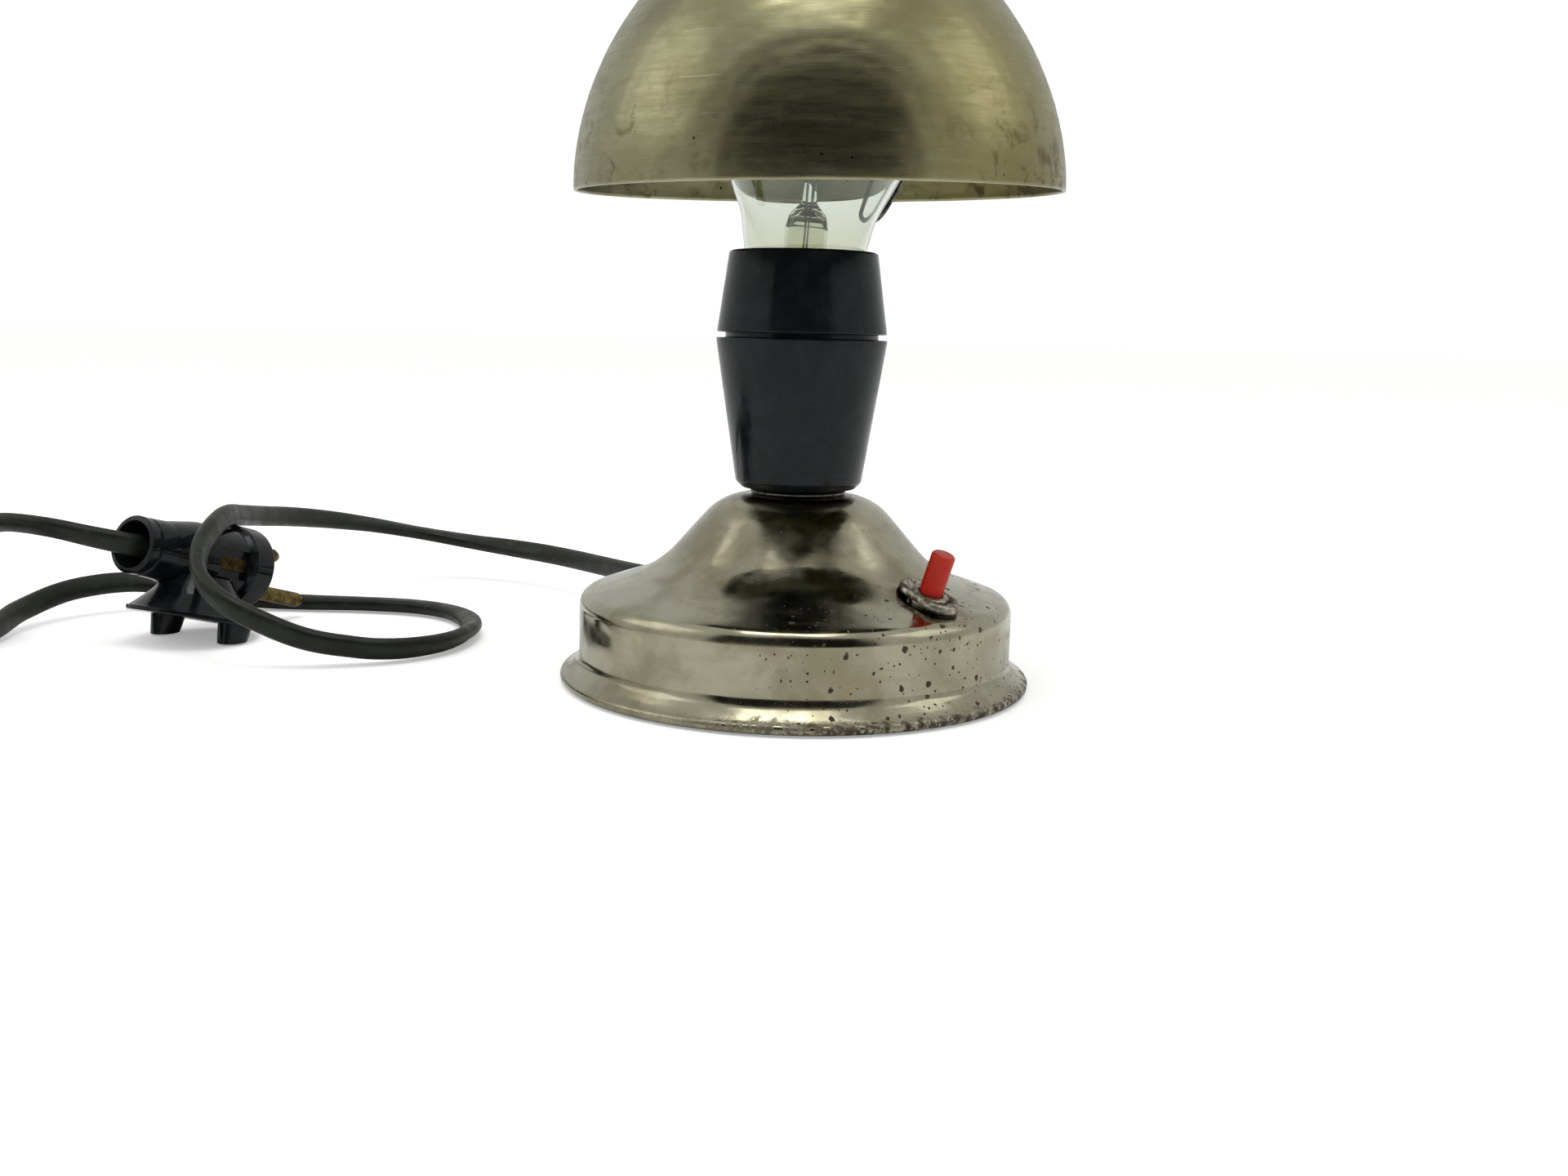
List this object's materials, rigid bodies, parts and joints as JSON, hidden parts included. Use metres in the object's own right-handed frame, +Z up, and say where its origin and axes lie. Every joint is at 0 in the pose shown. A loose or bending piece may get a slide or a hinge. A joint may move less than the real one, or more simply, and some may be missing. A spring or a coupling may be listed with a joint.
{
  "type": "table lamp",
  "caption": "Small bedside lamp: a metal dome clipped over a clear bulb, a black lampholder, a bell-shaped metal base with a push switch, and a flat lead ending in a round plug.",
  "frame": {"origin": "centre of the felt underside, on the table", "axes": "+Z up along the lampholder, front with the push switch towards -Y, switch to the +X side, lead and plug to the -X side"},
  "size_m": [0.4112, 0.2171, 0.2127],
  "materials": {
    "bright_nickel": "polished nickel plate, pitted and stained with age",
    "satin_nickel": "satin nickel plate with fine turning lines",
    "cast_ballast": "rough cast",
    "plated_steel": "dull zinc plate",
    "brass": "dull brass",
    "black_moulding": "glossy black moulding",
    "porcelain": "glazed white porcelain",
    "clear_glass": "clear glass",
    "spring_wire": "drawn spring steel",
    "red_plastic": "opaque red, softly glossy",
    "cord_rubber": "dark olive flexible sheath",
    "green_felt": "dark felt",
    "wire_insulation": "coloured wire insulation"
  },
  "bodies": {
    "lamp": {"ballast_nut": "plated_steel", "ballast_stud": "plated_steel", "ballast_weight": "cast_ballast", "base_cover": "bright_nickel", "base_felt": "green_felt", "base_plate": "plated_steel", "centre_contact": "brass", "centre_nipple": "plated_steel", "cord_coil": "cord_rubber", "cord_gland": "cord_rubber", "cord_lead": "cord_rubber", "cord_tail": "cord_rubber", "cord_tie": "cord_rubber", "holder_body": "black_moulding", "holder_insert": "porcelain", "holder_skirt": "black_moulding", "neck_washer": "plated_steel", "nut_in_holder": "plated_steel", "nut_under_cover": "plated_steel", "plug_earth_strip_1": "brass", "plug_earth_strip_2": "brass", "plug_lower_shell": "black_moulding", "plug_pin_1": "brass", "plug_pin_2": "brass", "plug_upper_shell": "black_moulding", "screw_shell": "brass", "switch_body": "black_moulding", "switch_bushing": "brass", "switch_escutcheon": "bright_nickel", "switch_locknut": "plated_steel", "switch_spring": "spring_wire", "terminal_screw_1": "brass", "terminal_screw_2": "brass", "wire_from_switch": "wire_insulation", "wire_to_holder": "wire_insulation", "wire_to_switch": "wire_insulation"},
    "button": {"switch_button": "red_plastic"},
    "bulb": {"bulb_cap": "brass", "cap_insulator": "black_moulding", "cap_contact": "plated_steel", "bulb_glass": "clear_glass", "glass_stem": "clear_glass", "lead_wire_left": "plated_steel", "lead_wire_right": "plated_steel", "filament": "spring_wire"},
    "clip": {"clip_loop_long": "spring_wire", "clip_loop_short": "spring_wire", "clip_plate": "plated_steel", "clip_stud": "plated_steel", "clip_spacer": "brass"},
    "shade": {"shade_dome": "satin_nickel", "shade_washer": "bright_nickel", "shade_nut": "bright_nickel"}
  },
  "joints": [
    {"name": "button_press", "type": "slide", "parent": "lamp", "child": "button", "axis": [-0.246, 0.2376, -0.9397], "range_m": [0, 0.004], "stiffness_N_per_m": 400, "deforming": ["switch_spring"]},
    {"name": "bulb_turn", "type": "hinge", "parent": "lamp", "child": "bulb", "pos_m": [0, 0, 0.1], "axis": [0, 0, 1], "continuous": true},
    {"name": "shade_tilt", "type": "hinge", "parent": "bulb", "child": "clip", "pos_m": [0.00307, 0, 0.15689], "axis": [0.766, 0.6428, 0], "range_deg": [-25, 25]},
    {"name": "shade_turn", "type": "hinge", "parent": "clip", "child": "shade", "pos_m": [0.00307, 0, 0.15689], "axis": [-0.0192, -0.0489, 0.9986], "continuous": true}
  ]
}
